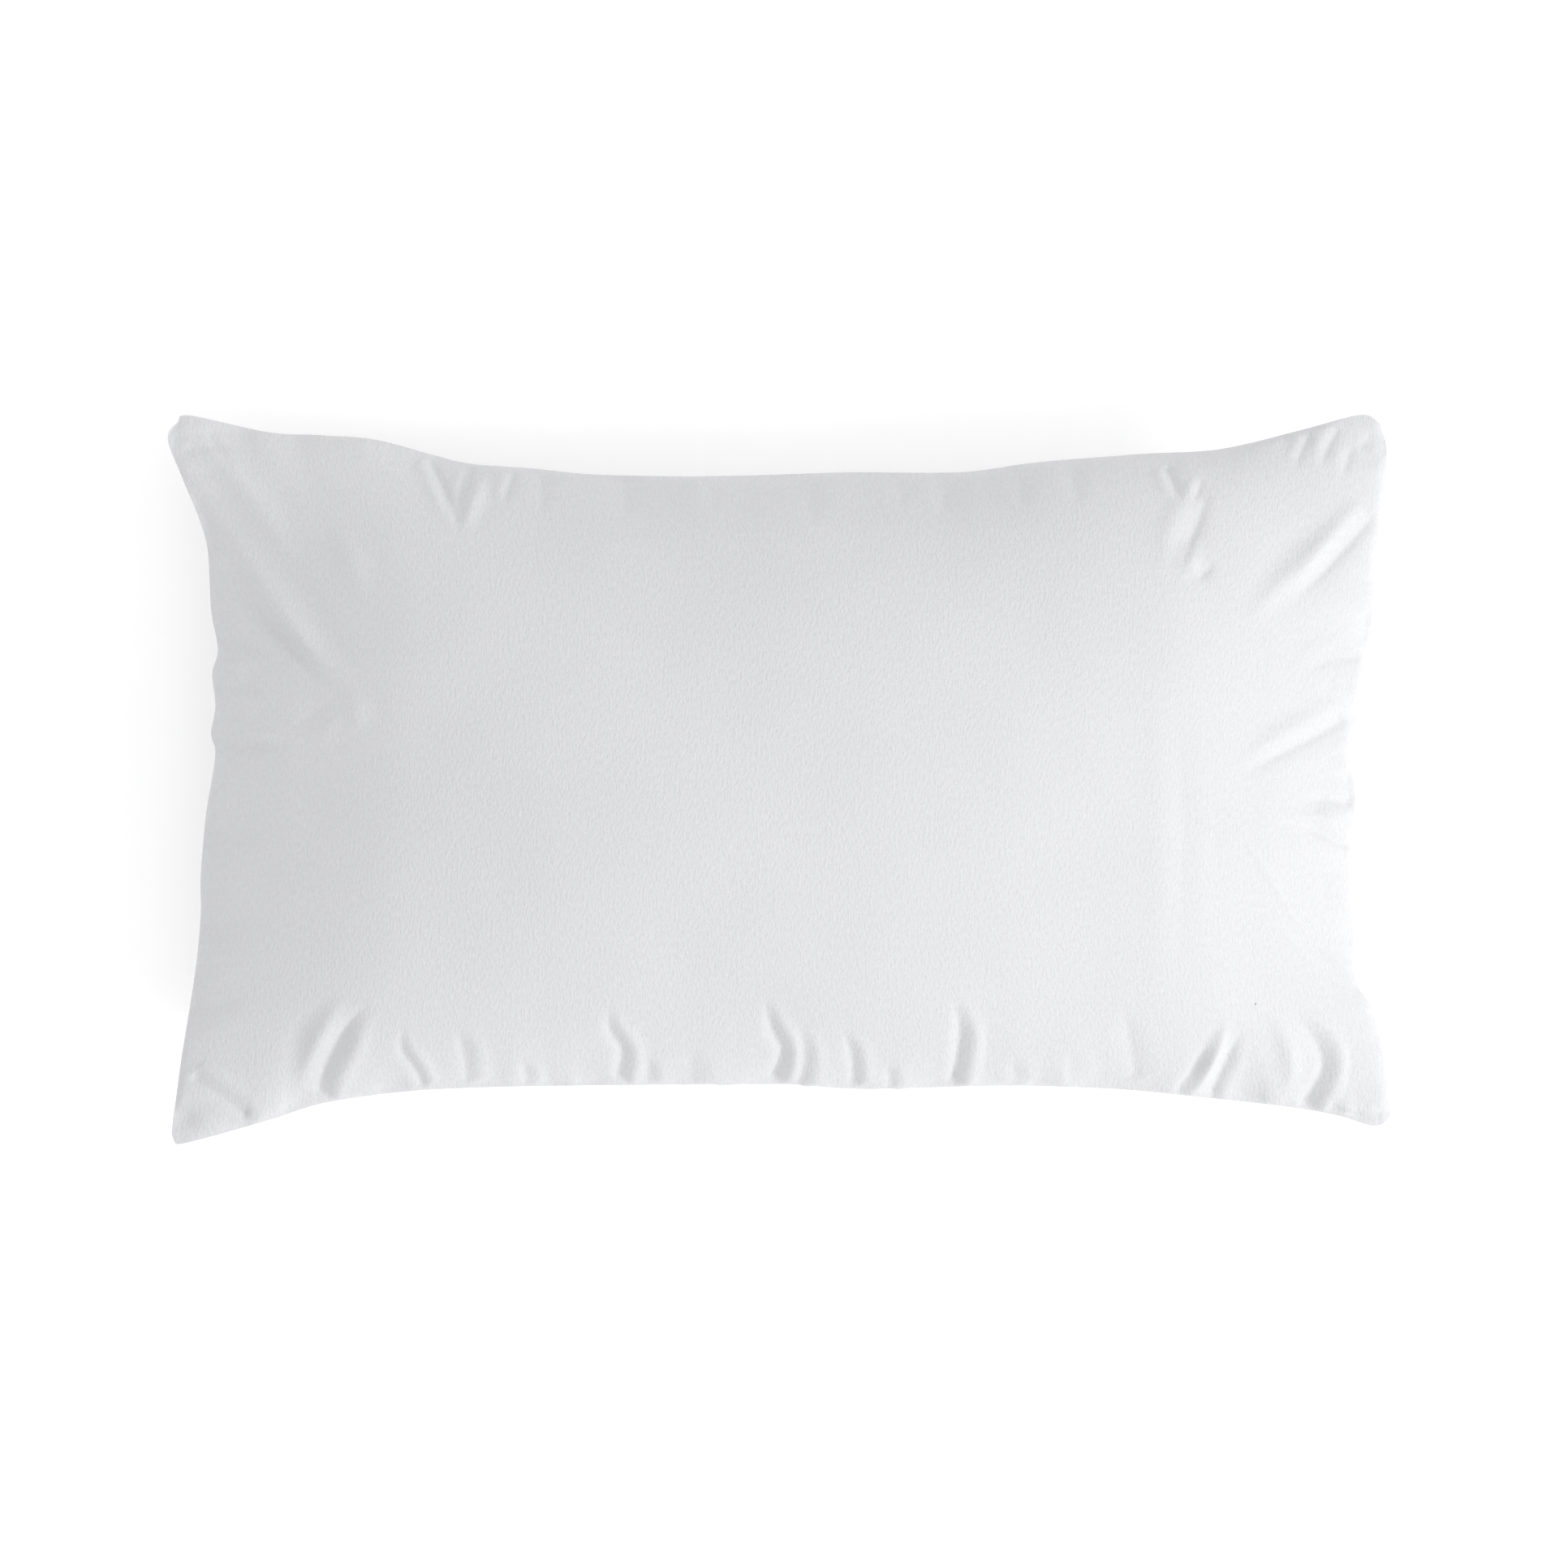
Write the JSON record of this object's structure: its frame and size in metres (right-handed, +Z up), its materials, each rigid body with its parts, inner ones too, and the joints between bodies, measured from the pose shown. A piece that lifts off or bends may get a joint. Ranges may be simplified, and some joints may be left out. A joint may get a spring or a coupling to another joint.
{
  "type": "bed pillow",
  "caption": "Filled rectangular bed pillow in a plain knife-edged cover, with a concealed zip under one long seam and an inner pillow inside.",
  "frame": {"origin": "on the surface that the pillow lies on, under its middle", "axes": "+X along the pillow's length, +Y away from the zipped seam, +Z up out of the crown"},
  "size_m": [0.8452, 0.5166, 0.1864],
  "materials": {
    "cover_cloth": "matte",
    "ticking": "matte",
    "seam_thread": "matte",
    "fibre_fill": "matte",
    "zip_tape": "matte",
    "zip_coil": "satin",
    "zip_metal": "satin"
  },
  "bodies": {
    "pillow": {"cover_front_panel": "cover_cloth", "cover_back_panel": "cover_cloth", "cover_seam_thread": "seam_thread", "inner_front_panel": "ticking", "inner_back_panel": "ticking", "inner_seam_thread": "seam_thread", "inner_closing_stitch": "seam_thread", "fibre_fill": "fibre_fill", "zip_tape_upper": "zip_tape", "zip_tape_lower": "zip_tape", "zip_coil_upper": "zip_coil", "zip_coil_lower": "zip_coil", "zip_stitching": "seam_thread", "zip_end_stops": "zip_coil", "zip_bottom_stop": "zip_coil"},
    "slider": {"zip_slider": "zip_metal"},
    "pull_tab": {"zip_pull_tab": "zip_metal"}
  },
  "joints": [
    {"name": "zip_slide", "type": "slide", "parent": "pillow", "child": "slider", "axis": [1, 0, 0], "range_m": [-0.383, 0]},
    {"name": "pull_tab_swing", "type": "hinge", "parent": "slider", "child": "pull_tab", "pos_m": [0.1915, -0.21037, 0.06989], "axis": [0, -0.5132, 0.8583], "range_deg": [0, 170]}
  ]
}
